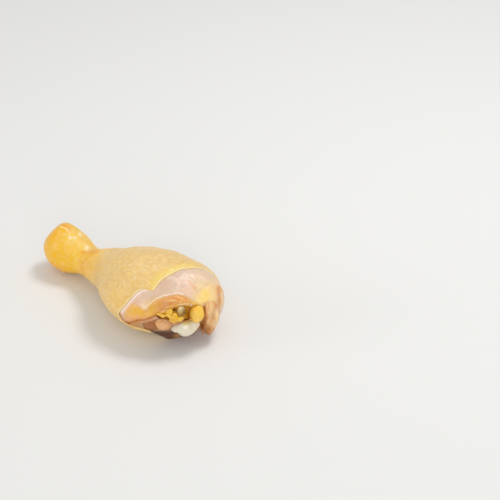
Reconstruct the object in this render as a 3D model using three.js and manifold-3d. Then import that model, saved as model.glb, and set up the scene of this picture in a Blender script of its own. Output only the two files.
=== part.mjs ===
import * as THREE from 'three';
import * as BufferGeometryUtils from 'three/addons/utils/BufferGeometryUtils.js';
import Module from 'manifold-3d';

const wasm = await Module();
wasm.setup();

// Raw chicken drumstick lying on its side, millimetres.
// X runs from the hock (-) to the knee (+), Y across, Z up; it rests on Z = 0.

// Layers
const SKIN = 1.2;
const GAP = 0.3;
const MEAT_RISE = 0.3;

// Main form: round masses along the leg, each blended into the next
const CALF = { at: [27.4, -1.8, 23.4], r: [38.1, 29.7, 23.8], yaw: -2.6, pitch: 2 };
const KNEE = { at: [47.4, 4.1, 23.0], r: [26.2, 27.4, 23.0] };
const NECK = { at: [-36.9, 3.4, 14.9], r: 9.5 };
const SHIN = { at: [27.4, -1.8, 23.6], r: 23.4 };
const HOCK_CORE = { at: [-58.7, 3.9, 15.6], r: 11.9 };
const HOCK = { at: [-58.7, 3.9, 15.3], r: [17.8, 14.3, 15.4], yaw: -18 };
const HOCK_TOP = { at: [-62.0, 6.5, 22.5], r: [9.5, 9.0, 9.0], yaw: -18 };

// Cut face at the hock, its outward direction and its distance from the middle of the knob
const CUT_DIRECTION = new THREE.Vector3(-0.93, 0.3, -0.2).normalize();
const CUT_DISTANCE = 12.2;
const CUT_RECESS = 1.6;

// Edge of the skin: angle round the leg from +Y over the top, and its place along the leg
const EDGE_AXIS = { y: 3.7, z: 24.2 };
const SKIN_EDGE = [
  [29, 59.7], [49, 55.8], [79, 52.5], [94, 49.4], [115, 45.5], [125, 44.9], [146, 46.4],
  [150, 40.5], [162, 35.1], [182, 27.9], [190, 26.0], [195, 26.7], [201, 38.5], [208, 50.0],
  [245, 49.0], [290, 53.0], [335, 58.5], [372, 62.0],
];

// Muscles that show at the knee
const CALF_MUSCLE = { at: [39.1, -20.6, 25.6], r: [12.5, 10.4, 9.6], yaw: 10, pitch: 35 };
const BAND = { path: [[47.5, -20.5, 28.5], [56.5, -13.0, 34.0], [65.0, -4.6, 31.0]], r: [6.0, 6.0, 5.6] };
const UNDER_MUSCLE = { path: [[46.5, -21.6, 17.0], [56.1, -14.4, 11.8]], r: [5.0, 5.4] };
const ROUND_MUSCLE = { at: [56.6, -21.2, 21.2], r: [4.8, 4.6, 3.9] };
const SIDE_MUSCLE = { at: [65.3, 12.6, 24.0], r: [6.6, 9.6, 12.5] };
const LOBE = { path: [[68.9, 7.6, 25.5], [68.3, 7.8, 16.0], [66.5, 7.0, 8.4]], r: [4.6, 5.8, 4.9] };
const CLEFT = { path: [[73.9, -1.0, 29.0], [72.5, -0.4, 20.0], [68.1, 2.2, 7.0]], r: [1.2, 2.2, 2.2] };
const BASIN = { at: [66.1, -14.6, 27.6], r: [12.0, 4.0, 5.8], yaw: 41.5 };

// Separate pieces at the knee and at the hock
const KNEE_CARTILAGE = [
  { at: [64.1, -11.2, 15.3], r: [8.4, 5.4, 5.2], yaw: 41.5, pitch: -4 },
  { at: [68.6, -5.6, 18.0], r: [3.8, 3.8, 3.8] },
];
const LARGE_FAT = { at: [68.9, -3.9, 25.0], r: [5.2, 5.2, 6.8], yaw: 41.5 };
const TENDON = { at: [65.3, -12.3, 29.4], r: [5.0, 3.8, 4.2], yaw: 41.5, pitch: -12 };
const SMALL_FAT = [
  { at: [58.7, -20.4, 27.4], r: [5.4, 3.2, 2.8], yaw: 41.5 },
  { at: [63.2, -16.6, 25.8], r: [4.6, 3.0, 4.2], yaw: 41.5 },
];
const HOCK_CARTILAGE = [
  { at: [-68.3, 1.2, 13.4], r: [4.6, 4.8, 6.2], yaw: -18 },
  { at: [-66.1, 8.6, 13.6], r: [4.6, 4.6, 5.8], yaw: -18 },
];

// Mesh density
const AROUND = 36;
const ALONG = 17;
const CAP_ROWS = 7;
const END_AROUND = 48;
const END_ROWS = 34;
const SMALL_AROUND = 18;
const SMALL_ROWS = 11;

// Distance to an ellipsoid, negative inside
function ellipsoid({ at, r, yaw = 0, pitch = 0 }) {
  const turn = new THREE.Euler(0, THREE.MathUtils.degToRad(-pitch), THREE.MathUtils.degToRad(yaw), 'ZYX');
  const inverse = new THREE.Quaternion().setFromEuler(turn).invert();
  const centre = new THREE.Vector3(...at);
  const radii = new THREE.Vector3(...r);
  const q = new THREE.Vector3();
  return (p) => {
    q.copy(p).sub(centre).applyQuaternion(inverse).divide(radii);
    const k0 = q.length();
    const k1 = q.divide(radii).length();
    return k1 > 1e-9 ? (k0 * (k0 - 1)) / k1 : -Math.min(...r);
  };
}

// Distance to a rod with round ends whose radius changes along it
function rod(from, to, fromRadius, toRadius) {
  const a = new THREE.Vector3(...from);
  const axis = new THREE.Vector3(...to).sub(a);
  const q = new THREE.Vector3();
  return (p) => {
    q.copy(p).sub(a);
    const t = THREE.MathUtils.clamp(q.dot(axis) / axis.lengthSq(), 0, 1);
    return q.addScaledVector(axis, -t).length() - (fromRadius + (toRadius - fromRadius) * t);
  };
}

// Rods joined end to end along a path
function chain({ path, r }) {
  const rods = path.slice(1).map((end, i) => rod(path[i], end, r[i], r[i + 1]));
  return (p) => Math.min(...rods.map((distance) => distance(p)));
}

function smoothMin(a, b, width) {
  const h = Math.max(width - Math.abs(a - b), 0) / width;
  return Math.min(a, b) - h * h * width * 0.25;
}

const joined = (a, b, width) => (p) => smoothMin(a(p), b(p), width);
const carved = (a, b, width) => (p) => -smoothMin(-a(p), b(p), width);
const grown = (a, amount) => (p) => a(p) - amount;

// Outside of the whole leg
function legForm() {
  const knee = joined(ellipsoid(CALF), ellipsoid(KNEE), 9);
  const leg = joined(knee, rod(NECK.at, SHIN.at, NECK.r, SHIN.r), 9);
  const shank = rod(HOCK_CORE.at, NECK.at, HOCK_CORE.r, NECK.r);
  const knob = joined(joined(shank, ellipsoid(HOCK), 7), ellipsoid(HOCK_TOP), 6);
  return joined(leg, knob, 3);
}

// Bare meat at the knee, with its muscles
function kneeForm() {
  let form = grown(legForm(), -MEAT_RISE);
  form = joined(form, ellipsoid(CALF_MUSCLE), 2);
  form = joined(form, chain(BAND), 2);
  form = joined(form, chain(UNDER_MUSCLE), 2);
  form = carved(form, ellipsoid(BASIN), 2.5);
  form = joined(form, ellipsoid(SIDE_MUSCLE), 3);
  form = carved(form, chain(CLEFT), 2);
  return joined(form, chain(LOBE), 1.5);
}

// Outermost place along a ray where the distance falls to zero
function reach(distance, start, direction, furthest) {
  const p = new THREE.Vector3();
  const at = (length) => distance(p.copy(start).addScaledVector(direction, length));
  let far = furthest;
  while (far > 1 && at(far) > 0) far -= 1;
  let near = far;
  far += 1;
  for (let i = 0; i < 24; i += 1) {
    const middle = (near + far) / 2;
    if (at(middle) > 0) far = middle;
    else near = middle;
  }
  return near;
}

// Move every vertex of a geometry out onto a form, along the ray from its own start point
function wrapped(geometry, distance, startOf, furthest = 60) {
  const position = geometry.attributes.position;
  const vertex = new THREE.Vector3();
  for (let i = 0; i < position.count; i += 1) {
    vertex.fromBufferAttribute(position, i);
    const { start, direction } = startOf(vertex);
    const length = reach(distance, start, direction, furthest);
    vertex.copy(start).addScaledVector(direction, length);
    position.setXYZ(i, vertex.x, vertex.y, vertex.z);
  }
  return solid(geometry);
}

// Line through the middle of the leg that the long pieces are wrapped from
const SPINE = new THREE.CatmullRomCurve3([
  new THREE.Vector3(-59.5, 4.2, 16.5),
  new THREE.Vector3(-36.5, 3.4, 15.5),
  new THREE.Vector3(-6.5, 1.5, 19),
  new THREE.Vector3(23.5, -1, 23),
  new THREE.Vector3(50.5, 3.5, 23),
]);

function wrappedAlongSpine(distance) {
  const geometry = new THREE.CapsuleGeometry(1, 2, CAP_ROWS, AROUND, ALONG);
  geometry.rotateZ(-Math.PI / 2);
  return wrapped(geometry, distance, (v) => {
    const s = THREE.MathUtils.clamp(v.x, -1, 1);
    const start = SPINE.getPointAt((s + 1) / 2);
    const direction = new THREE.Vector3(v.x - s, v.y, v.z).normalize();
    return { start, direction };
  });
}

function wrappedBall(distance, centre, around, rows) {
  const geometry = new THREE.SphereGeometry(1, around, rows);
  geometry.rotateZ(-Math.PI / 2);
  const start = new THREE.Vector3(...centre);
  return wrapped(geometry, distance, (v) => ({ start, direction: v.clone().normalize() }));
}

// Closed body from a geometry: one copy of each vertex, no flat triangles
function solid(geometry) {
  geometry.deleteAttribute('normal');
  geometry.deleteAttribute('uv');
  const merged = BufferGeometryUtils.mergeVertices(geometry, 1e-3);
  const index = merged.index.array;
  const triVerts = [];
  for (let i = 0; i < index.length; i += 3) {
    const [a, b, c] = index.subarray(i, i + 3);
    if (a !== b && b !== c && c !== a) triVerts.push(a, b, c);
  }
  const vertProperties = merged.attributes.position.array;
  return new wasm.Manifold(new wasm.Mesh({
    numProp: 3,
    vertProperties,
    triVerts: Uint32Array.from(triVerts),
  }));
}

// Place of the skin edge at an angle round the leg, in degrees
function edgeAt(angle) {
  const first = SKIN_EDGE[0];
  const knots = [...SKIN_EDGE, [first[0] + 360, first[1]]];
  const a = THREE.MathUtils.euclideanModulo(angle - first[0], 360) + first[0];
  const i = knots.findIndex((knot) => knot[0] > a) - 1;
  const t = (a - knots[i][0]) / (knots[i + 1][0] - knots[i][0]);
  return THREE.MathUtils.lerp(knots[i][1], knots[i + 1][1], t);
}

// Space beyond the skin edge, drawn back all round by a margin
function beyondEdge(margin) {
  const profile = [[0, 1], [50, 1], [50, 0], [12, 0], [0, 0]];
  const points = profile.map(([radius, height]) => new THREE.Vector2(radius, height));
  const geometry = new THREE.LatheGeometry(points, 96);
  const position = geometry.attributes.position;
  const spread = margin > 0 ? [-1.5, 0, 1.5] : [0];
  for (let i = 0; i < position.count; i += 1) {
    const [y, z] = [position.getX(i), position.getZ(i)];
    const radius = Math.hypot(y, z);
    const angle = THREE.MathUtils.radToDeg(Math.atan2(z, y));
    const edge = Math.max(...spread.map((step) => edgeAt(angle + step))) + margin;
    const near = radius > 1 ? edge : 50;
    const x = position.getY(i) > 0.5 ? 100 : near;
    position.setXYZ(i, x, y + EDGE_AXIS.y, z + EDGE_AXIS.z);
  }
  return solid(geometry);
}

// Keep what lies on the leg side of the hock cut
function cutAtHock(body, recess) {
  const middle = new THREE.Vector3(...HOCK.at);
  const offset = CUT_DIRECTION.dot(middle) + CUT_DISTANCE - recess;
  return body.trimByPlane(CUT_DIRECTION.clone().negate().toArray(), -offset);
}

const above = (body, height) => body.trimByPlane([0, 0, 1], height);

const leg = legForm();

function makeSkin() {
  const outside = above(wrappedAlongSpine(leg), 0);
  const inside = above(wrappedAlongSpine(grown(leg, -SKIN)), SKIN);
  return cutAtHock(outside.subtract(inside), 0).subtract(beyondEdge(0));
}

function makeMeat() {
  const level = SKIN + GAP;
  const core = above(wrappedAlongSpine(grown(leg, -level)), level);
  const end = above(wrappedBall(kneeForm(), [44.5, 1, 22], END_AROUND, END_ROWS), level);
  const bare = end.intersect(beyondEdge(GAP));
  const knot = wrappedBall(ellipsoid(ROUND_MUSCLE), ROUND_MUSCLE.at, SMALL_AROUND, SMALL_ROWS);
  return cutAtHock(core, CUT_RECESS).add(bare).add(knot);
}

// A small piece and the pocket it sits in
function piece(ellipsoids, blend) {
  const form = ellipsoids.map(ellipsoid).reduce((a, b) => joined(a, b, blend));
  const centre = new THREE.Vector3();
  ellipsoids.forEach(({ at }) => centre.add(new THREE.Vector3(...at)));
  const middle = centre.divideScalar(ellipsoids.length).toArray();
  return {
    body: wrappedBall(form, middle, SMALL_AROUND, SMALL_ROWS),
    pocket: wrappedBall(grown(form, GAP), middle, SMALL_AROUND, SMALL_ROWS),
  };
}

function named(name, body, color, roughness) {
  const { vertProperties, triVerts } = body.getMesh();
  const geometry = new THREE.BufferGeometry();
  geometry.setAttribute('position', new THREE.BufferAttribute(vertProperties, 3));
  geometry.setIndex(new THREE.BufferAttribute(triVerts, 1));
  geometry.computeVertexNormals();
  const material = new THREE.MeshStandardMaterial({ color, roughness, metalness: 0 });
  const mesh = new THREE.Mesh(geometry, material);
  mesh.name = name;
  return mesh;
}

function build() {
  const kneeCartilage = piece(KNEE_CARTILAGE, 4);
  const largeFat = piece([LARGE_FAT], 1);
  const tendon = piece([TENDON], 1);
  const smallFat = piece(SMALL_FAT, 3);
  const hockCartilage = piece(HOCK_CARTILAGE, 2);

  const fat = largeFat.body.subtract(kneeCartilage.pocket);
  const stub = tendon.body.subtract(largeFat.pocket).subtract(kneeCartilage.pocket);
  const bits = smallFat.body
    .subtract(tendon.pocket)
    .subtract(largeFat.pocket)
    .subtract(kneeCartilage.pocket);

  const pieces = [kneeCartilage, largeFat, tendon, smallFat, hockCartilage];
  const meat = pieces.reduce((body, { pocket }) => body.subtract(pocket), makeMeat());

  const group = new THREE.Group();
  group.name = 'raw_chicken_drumstick';
  group.add(
    named('skin', makeSkin(), 0xe6c882, 0.45),
    named('meat', meat, 0xd9a88f, 0.4),
    named('knee_cartilage', kneeCartilage.body, 0xe9e6da, 0.3),
    named('large_fat', fat, 0xe8b944, 0.35),
    named('small_fat', bits, 0xe3b04c, 0.35),
    named('tendon', stub, 0xbdb79a, 0.3),
    named('hock_cartilage', hockCartilage.body, 0xe9e6da, 0.3),
  );
  return group;
}

export default build();
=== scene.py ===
import bpy
import numpy as np
import openvdb
from mathutils import Matrix, Vector


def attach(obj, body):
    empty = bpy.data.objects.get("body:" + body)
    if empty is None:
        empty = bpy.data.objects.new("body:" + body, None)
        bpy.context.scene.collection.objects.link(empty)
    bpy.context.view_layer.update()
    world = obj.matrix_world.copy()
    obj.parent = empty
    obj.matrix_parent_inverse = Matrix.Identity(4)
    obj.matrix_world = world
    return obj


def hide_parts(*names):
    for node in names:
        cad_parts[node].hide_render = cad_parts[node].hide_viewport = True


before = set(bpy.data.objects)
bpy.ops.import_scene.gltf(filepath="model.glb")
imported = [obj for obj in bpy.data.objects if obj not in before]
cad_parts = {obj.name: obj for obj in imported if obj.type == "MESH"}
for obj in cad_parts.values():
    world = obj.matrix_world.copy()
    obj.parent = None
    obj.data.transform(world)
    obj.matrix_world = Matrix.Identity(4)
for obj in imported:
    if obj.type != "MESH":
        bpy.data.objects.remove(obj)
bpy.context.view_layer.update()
MM = 0.001

# Forms are worked out in millimetres: X from the hock (-) to the knee (+), Z up from the floor.
# Usual short names: p points, q points moved or on the drawing, d distance to a form, h height, c colours.
SKIN_THICK = 0.9

# Place of the camera, and the direction opposite to where it looks
VIEW_FROM = (588.7, -542.0, 540.9)
VIEW_BACK = (0.5611, -0.6342, 0.5318)


def unit(*direction):
    return np.array(direction) / np.linalg.norm(direction)


def rotation(yaw, pitch):
    cy, sy = np.cos(np.radians(yaw)), np.sin(np.radians(yaw))
    cp, sp = np.cos(np.radians(pitch)), np.sin(np.radians(pitch))
    about_z = np.array([[cy, -sy, 0], [sy, cy, 0], [0, 0, 1]])
    about_y = np.array([[cp, 0, -sp], [0, 1, 0], [sp, 0, cp]])
    return about_z @ about_y


def ellipsoid(p, at, r, yaw=0, pitch=0):
    """About the distance from an ellipsoid, below 0 inside it."""
    q = (p - np.array(at)) @ rotation(yaw, pitch)
    r = np.array(r, float)
    k0 = np.linalg.norm(q / r, axis=-1)
    k1 = np.linalg.norm(q / r**2, axis=-1)
    return k0 * (k0 - 1) / np.maximum(k1, 1e-9)


def rod(p, a, b, ra, rb):
    """Distance from a rod between a and b, whose radius goes from ra to rb."""
    a, b = np.array(a, float), np.array(b, float)
    ba = b - a
    t = np.clip(((p - a) @ ba) / (ba @ ba), 0, 1)
    return np.linalg.norm(p - a - t[..., None] * ba, axis=-1) - (ra + (rb - ra) * t)


def chain(p, path, radii):
    parts = [rod(p, path[i], path[i + 1], radii[i], radii[i + 1]) for i in range(len(path) - 1)]
    return np.minimum.reduce(parts)


def line(p, path):
    return chain(p, path, [0] * len(path))


def smin(a, b, k):
    """The smaller of two distances, with a soft join about k wide."""
    h = np.maximum(k - np.abs(a - b), 0) / k
    return np.minimum(a, b) - h * h * k * 0.25


def smax(a, b, k):
    return -smin(-a, -b, k)


def step(lo, hi, v):
    """0 where v is at lo, rising softly to 1 at hi, also when lo is the larger."""
    t = np.clip((v - lo) / (hi - lo), 0, 1)
    return t * t * (3 - 2 * t)


def near(distance, width):
    """1 on a line or form, fading to 0 at about twice the width from it."""
    return np.exp(-np.maximum(distance, 0) ** 2 / (width * width))


def hashed(cell, seed):
    """Repeatable random numbers from 0 to 1, three for each whole-number cell."""
    n = cell[..., 0] * 73856093 ^ cell[..., 1] * 19349663 ^ cell[..., 2] * 83492791 ^ seed * 2654435761
    out = []
    for turn in (1, 2, 3):
        m = (n * (1103515245 + 2 * turn) + 12345 * turn) & 0x7FFFFFFF
        m = (m ^ (m >> 13)) * 1274126177 & 0x7FFFFFFF
        m = m ^ (m >> 16)
        out.append((m & 0xFFFFFF) / float(0x1000000))
    return np.stack(out, -1)


def turned(p, seed):
    """Points turned by a fixed odd angle, so that no noise lines up with the axes or with other noise."""
    return p @ rotation(31 + 47 * seed, 23 + 29 * seed) @ np.array([[1, 0, 0], [0, 0.8, -0.6], [0, 0.6, 0.8]])


def smooth_noise(p, size, seed):
    """Soft noise from -1 to 1 with features about size across."""
    q = turned(p, seed) / size
    base = np.floor(q).astype(np.int64)
    f = q - base
    f = f * f * (3 - 2 * f)
    total = 0
    for corner in np.ndindex(2, 2, 2):
        c = np.array(corner)
        weight = np.prod(np.where(c, f, 1 - f), axis=-1)
        total = total + weight * hashed(base + c, seed)[..., 0]
    return total * 2 - 1


def layered(p, size, seed):
    """Noise in three layers, each half as large and half as strong as the one before."""
    total, amount = 0, 1.0
    for i in range(3):
        total = total + amount * smooth_noise(p, size / 2**i, seed + i)
        amount *= 0.5
    return total / 1.75


def pimples(p, size, seed):
    """Distance to the nearest of a scatter of points about size apart, over size."""
    q = turned(p, seed) / size
    base = np.floor(q).astype(np.int64)
    best = np.full(q.shape[:-1], 9.0)
    for offset in np.ndindex(3, 3, 3):
        cell = base + np.array(offset) - 1
        point = cell + 0.15 + 0.7 * hashed(cell, seed)
        best = np.minimum(best, np.linalg.norm(q - point, axis=-1))
    return best


# Form of the leg: ellipsoids have a middle, radii, yaw and pitch, and rods have two ends and two radii
CALF = ((27.4, -1.8, 23.4), (38.1, 29.7, 23.8), -2.6, 2)
KNEE = ((47.4, 4.1, 23.0), (26.2, 27.4, 23.0))
SHIN = ((-36.9, 3.4, 14.9), (27.4, -1.8, 23.6), 9.5, 23.4)
SHANK = ((-58.7, 3.9, 15.6), (-36.9, 3.4, 14.9), 11.9, 9.5)
SHANK_BACK = ((-53.8, 11.9, 18.8), (-36.8, 7.1, 17.2), 5.1, 5.7)
KNOB = ((-58.9, 3.5, 15.5), (18.7, 13.9, 15.1), -11)
KNOB_TOP = ((-63.4, 5.4, 23.0), (9.9, 8.0, 9.3), -11)
KNOB_FLAT = np.array([-0.7085, -0.2237, 0.6693])
KNOB_FLAT_AT = 67.46
SHOULDER = ((-22.8, 6.8, 21.6), (-10.1, 3.7, 28.3), 6.0, 6.9)
KNEE_TOP = ((33.0, 14.3, 33.7), (15.2, 9.3, 9.3))
DENT_AT = (43.5, -18.8, 5.4)
DENT_DEPTH, DENT_WIDTH = 1.3, 5.0


def leg_form(p):
    knee = smin(ellipsoid(p, *CALF), ellipsoid(p, *KNEE), 9)
    leg = smin(knee, rod(p, *SHIN), 9)
    shank = smin(rod(p, *SHANK), rod(p, *SHANK_BACK), 4)
    knob = smin(shank, ellipsoid(p, *KNOB), 7)
    knob = smin(knob, ellipsoid(p, *KNOB_TOP), 6)
    knob = smax(knob, p @ KNOB_FLAT - KNOB_FLAT_AT, 4)
    leg = smin(leg, knob, 3)
    leg = smin(leg, rod(p, *SHOULDER), 3)
    leg = smin(leg, ellipsoid(p, *KNEE_TOP), 4)
    return leg + DENT_DEPTH * near(np.linalg.norm(p - DENT_AT, axis=-1), DENT_WIDTH)


def resting(p):
    """The leg with its underside pressed flat on the floor."""
    return smax(leg_form(p), -p[..., 2], 1.2)


# Cut face at the hock: its outward direction, and its place from the middle of the knob
HOCK_MIDDLE = np.array([-58.7, 3.9, 15.3])
CUT_DIRECTION = unit(-0.93, 0.3, -0.2)
CUT_DISTANCE = 12.2
CUT_AT = CUT_DIRECTION @ HOCK_MIDDLE + CUT_DISTANCE

# Edge of the skin: angle round the leg from +Y over the top, and its place along the leg
EDGE_Y, EDGE_Z = 3.7, 24.2
EDGE_START = 29
SKIN_EDGE = np.array([
    (29, 59.7), (44, 55.7), (57, 54.3), (74, 52.5), (89, 50.4), (100, 49.2), (116, 48.2), (126, 47.0),
    (142, 46.6), (146, 46.9), (148, 41.5), (151, 39.2), (155, 37.7), (164, 35.4), (170, 33.5), (176, 31.5),
    (182, 28.8), (188, 26.8), (195, 27.9), (199, 30.4), (200, 34.0), (201.5, 42.0), (204, 46.1), (215, 47.8),
    (232, 50.0), (250, 49.5), (268, 51.5), (290, 53.0), (312, 56.5), (335, 58.5), (355, 61.0), (372, 62.0),
    (389, 59.7),
])


def edge_angle(p):
    angle = np.degrees(np.arctan2(p[..., 2] - EDGE_Z, p[..., 1] - EDGE_Y))
    return (angle - EDGE_START) % 360 + EDGE_START


def edge_at(angle):
    """Place of the skin's edge along the leg, rounded at its corners and wavy, most where it is hidden."""
    angles = np.arange(EDGE_START, EDGE_START + 360, 0.25)
    x = np.interp(angles, SKIN_EDGE[:, 0], SKIN_EDGE[:, 1])
    kernel = np.exp(-np.linspace(-2, 2, 9) ** 2)
    x = np.convolve(np.concatenate([x[-4:], x, x[:4]]), kernel / kernel.sum(), "valid")
    hidden = 0.25 + 0.75 * step(205, 230, angles)
    waves = 0.5 * np.sin(np.radians(angles * 11)) + 0.35 * np.sin(np.radians(angles * 23 + 40))
    place = (angle - EDGE_START) % 360 + EDGE_START
    return np.interp(place, angles, x + hidden * waves, period=360)


# Middle line of the leg
SPINE_X = np.array([-80, -59.5, -36.5, -6.5, 23.5, 50.5, 80])
SPINE_Y = np.array([4.6, 4.2, 3.4, 1.5, -1.0, 3.5, 4.5])
SPINE_Z = np.array([15.5, 16.0, 15.5, 19.0, 23.0, 23.0, 23.0])


def spine(x):
    return np.stack([x, np.interp(x, SPINE_X, SPINE_Y), np.interp(x, SPINE_X, SPINE_Z)], -1)


# Flat drawing of the markings, as seen by the camera: one unit is about 0.65 mm on the leg
DRAWN_SCALE = 1466.7
DRAWN_MIDDLE = (80, 52)
DRAWN_FROM = np.array(VIEW_FROM)
DRAWN_BACK = unit(*VIEW_BACK)
DRAWN_RIGHT = np.array([0.749, 0.6626, 0.0])
DRAWN_UP = np.cross(DRAWN_BACK, DRAWN_RIGHT)


def drawn(p):
    """Places of points on the flat drawing."""
    q = p - DRAWN_FROM
    scale = -DRAWN_SCALE / (q @ DRAWN_BACK)
    right = DRAWN_MIDDLE[0] + scale * (q @ DRAWN_RIGHT)
    up = DRAWN_MIDDLE[1] + scale * (q @ DRAWN_UP)
    return np.stack([right, up], -1)


def facing(p):
    """1 on the side that the drawing shows, 0 behind."""
    middle = spine(np.clip(p[..., 0], -60, 45))
    return step(-3.0, 2.0, (p - middle) @ DRAWN_BACK)


def shifted(path, right, up):
    return [(a + right, b + up) for a, b in path]


def to_line(q, path):
    """Distance on the drawing to a line of points."""
    path = np.array(path, float)
    best = np.full(q.shape[:-1], 1e9)
    for a, b in zip(path[:-1], path[1:]):
        ab = b - a
        t = np.clip(((q - a) @ ab) / (ab @ ab), 0, 1)
        best = np.minimum(best, np.hypot(*np.moveaxis(q - a - t[..., None] * ab, -1, 0)))
    return best


def depth_in(q, outline):
    """Distance on the drawing to the edge of an area, above 0 inside it."""
    outline = np.array(outline + outline[:1], float)
    inside = np.zeros(q.shape[:-1], bool)
    for a, b in zip(outline[:-1], outline[1:]):
        spans = (a[1] > q[..., 1]) != (b[1] > q[..., 1])
        if a[1] != b[1]:
            inside ^= spans & (q[..., 0] < (b[0] - a[0]) * (q[..., 1] - a[1]) / (b[1] - a[1]) + a[0])
    return np.where(inside, 1, -1) * to_line(q, outline)


def oval(q, at, r, turn=0):
    """1 in the middle of an oval area on the drawing, fading to 0 past its edge."""
    c, s = np.cos(np.radians(turn)), np.sin(np.radians(turn))
    d = (q - np.array(at)) @ np.array([[c, -s], [s, c]]) / np.array(r, float)
    return np.exp(-0.9 * (d**2).sum(-1))


# Bare end on the drawing: muscles, creases and the hollow that holds the loose pieces
FASCIA = [(-27, -6.5), (-24, -5), (-20.5, -1.8), (-14.3, 2.7), (-7.1, 6.2), (0, 7.6), (7, 8.5), (13, 7)]
FASCIA_LOW = [(-26, -8), (-20.5, -4.8), (-14.5, -0.6), (-8, 3.2), (-1, 4.9)]
LOW_CREASE = [(-51, -12), (-49, -16.5), (-46, -19.5), (-42, -21.2), (-37, -20.4), (-32, -18.6), (-25, -18),
              (-18, -15.5), (-12.5, -12)]
WHITE_RIM_AND_SHEEN = [(-22.5, 12.6), (-26, 11.8), (-30, 9.8), (-33.5, 7.2), (-37, 3.2), (-41, -1.2), (-44.8, -6),
             (-48.2, -10), (-49.8, -14), (-47.6, -17.8), (-44, -20.8)]
GOLD_AREA = [(-45.5, -13), (-44, -7.5), (-40, -3), (-33, -3.5), (-27, -6.5), (-24, -5.5), (-20, -2),
             (-13.5, 2.2), (-9, 2.5), (-8.5, -4), (-12, -10.5), (-20, -16), (-30, -17.5), (-38, -19.5),
             (-43.5, -17.5)]
BAND_AREA = [(-16.5, 0.6), (-13, 2.4), (-7, 4.6), (0, 6.4), (8, 7.0), (14, 5.2), (20, 2.2), (27, -1.8),
             (34, -4.5), (34, -7), (26, -4.5), (20, -2), (14, -2.5), (8, -3.5), (2, -6), (-5, -9.5),
             (-12, -11.5), (-17.5, -8)]
BASIN_AREA = [(-13, -12.5), (-5, -10), (2, -6.8), (8, -4.3), (14, -3.3), (20, -3.5), (22.5, -8), (22.5, -15),
              (17, -18.2), (10, -19.8), (5, -21.5), (0, -19.5), (-5, -17), (-12, -15.5)]
SOCKET_AREA = [(0, -26.5), (4, -22.5), (12, -18.5), (30, -17.5), (33, -23), (31, -32), (25, -36), (18, -38),
               (8, -37), (3, -31)]
LOBE_AREA = [(33, -1), (38, 1.5), (44, 1), (48, -4), (49, -11), (48.5, -20), (46, -29), (41, -34.5),
             (37, -33), (33.5, -29), (32.5, -23), (33, -14), (34, -7)]
FLAP_AREA = [(-28, -21.5), (-20, -19.5), (-13, -17.5), (-12, -23), (-13, -28), (-20, -30), (-25, -28.5)]
STRIP_AREA = [(-42, -24), (-36, -22.3), (-31, -20.8), (-28, -21), (-27, -25), (-24.5, -28.5),
              (-18, -33), (-30, -32), (-38, -29)]
LOBE_LEFT = [(34.2, -5), (33.6, -13), (32.3, -22), (33.5, -29), (36, -33)]
SIDE_CREASE = [(48.5, 14), (49.5, 6), (48.7, -1), (47, -7.5), (45, -13)]
PINK_CREASE = [(17.5, 21), (22, 17), (25.5, 13)]
DOME_STREAKS = [[(7.5, 20), (8.2, 14)], [(-3, 25), (6, 22.5), (16, 24)], [(14, 28), (26, 27), (36, 22)]]
SLITS = [[(4.5, -6.5), (3, -9.5), (1.5, -12.5)], [(-12.5, -14), (-9.5, -16), (-6, -17)],
         [(13, -18), (18, -17)]]
BAND_SEAMS = [[(-10, -7.5), (-4, -4.5), (2, -1), (9, 1)], [(3, 4), (10, 4.2), (17, 1.8)],
              [(-9, -8.5), (-2.5, -6.8), (3, -5.4), (8, -3.6)]]
SHEEN_FOLDS = [[(-7.7, -9.2), (-2, -5.2), (4.4, -3.8), (14, -1.8), (19, -1.2)],
               [(-10, -11.6), (-2, -8.6), (3.6, -7.0)], [(-4, 1.5), (4, 1.4), (11, 0.2)]]
HOLLOW = ((19, -11), (3, 6))

# Muscles at the knee: paths with a radius at each point, and ellipsoids as above
CALF_MUSCLE = ((39.1, -20.6, 25.6), (12.5, 10.4, 9.6), 10, 35)
BAND = ([(47.5, -20.5, 28.5), (56.5, -13.0, 34.0), (65.0, -4.6, 31.0)], [6.0, 6.0, 5.6])
UNDER = ([(46.5, -21.6, 17.0), (55.6, -15.0, 11.5), (61.5, -7.5, 11.5), (63.5, 0.5, 10.0)],
         [5.0, 5.2, 4.3, 4.5])
SIDE_MUSCLE = ((65.3, 12.6, 24.0), (6.6, 9.6, 12.5))
CLEFT = ([(73.9, -1.0, 29.0), (72.5, -0.4, 20.0), (68.1, 2.2, 7.0)], [0.8, 1.6, 2.0])
LOBE = ([(68.9, 7.6, 25.5), (68.3, 7.8, 16.0), (66.5, 7.0, 8.4)], [4.6, 6.3, 5.5])
ROUND_AT = (57.0, -21.8, 21.2)
ROUND_MUSCLE = (ROUND_AT, (4.9, 4.7, 3.7))

# Loose pieces, most of them turned by this yaw to lie across the camera's view
TURN = 41.5
CARTILAGE = ((65.7, -11.5, 16.5), (6.6, 4.4, 5.7), TURN, 8)
CARTILAGE_LEFT = ((61.4, -15.6, 17.0), (3.6, 2.6, 2.6), TURN, -6)
CARTILAGE_RIGHT = ((69.0, -6.4, 18.6), (3.4, 3.2, 3.0), TURN)
CARTILAGE_NOTCH = ((63.6, -16.6, 13.2), (2.6, 2.2, 1.7), TURN, 30)
FAT_AT = (69.0, -4.5, 26.9)
FAT_TOP = (FAT_AT, (4.5, 4.5, 4.9), TURN)
FAT_LOW = ((69.4, -4.9, 23.6), (4.0, 3.8, 3.4), TURN)
TENDON = ((65.3, -13.9, 31.2), (62.6, -11.6, 27.6), 2.3, 3.5)
TENDON_EDGE = ((64.2, -14.6, 30.6), (63.4, -14.0, 27.0), 1.5, 2.0)
TENDON_CUT_AT = (66.5, -14.8, 31.9)
TENDON_CUT = np.array([0.62, -0.62, 0.48])
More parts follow.
